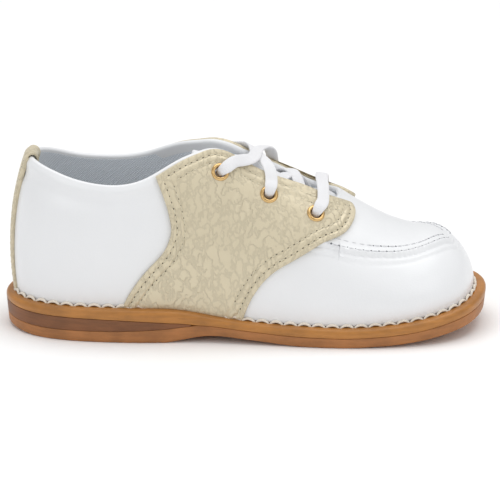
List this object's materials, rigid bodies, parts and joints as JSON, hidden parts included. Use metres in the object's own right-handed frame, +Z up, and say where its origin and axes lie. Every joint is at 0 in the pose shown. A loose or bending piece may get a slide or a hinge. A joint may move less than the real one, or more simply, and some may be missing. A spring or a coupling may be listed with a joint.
{
  "type": "toddler saddle shoe",
  "caption": "Hollow white leather toddler's lace-up shoe with a beige saddle and heel strip, moc-seamed toe and layered rubber sole with a stitched ledge.",
  "frame": {"origin": "middle of the shoe's box, on the floor it stands on", "axes": "+X from heel to toe, +Y towards the inner side of the foot, +Z up"},
  "size_m": [0.1616, 0.0624, 0.0642],
  "materials": {
    "white_leather": "smooth, satin",
    "beige_leather": "tumbled grain, semi-matte",
    "amber_rubber": "satin",
    "brown_rubber": "matte",
    "tan_rubber": "matte",
    "insole_board": "matte",
    "white_cotton": "woven, matte",
    "brass": "polished"
  },
  "bodies": {
    "root": {"outsole": "tan_rubber", "heel_wedge": "brown_rubber", "midsole": "amber_rubber", "insole": "insole_board", "upper": "white_leather", "tongue": "white_leather", "back_strip": "beige_leather", "saddle_lateral": "beige_leather", "eyelet_lateral_1": "brass", "eyelet_lateral_2": "brass", "eyelet_lateral_3": "brass", "saddle_medial": "beige_leather", "eyelet_medial_1": "brass", "eyelet_medial_2": "brass", "eyelet_medial_3": "brass", "lace_bar": "white_cotton", "lace_cross": "white_cotton", "lace_under": "white_cotton"}
  },
  "joints": []
}
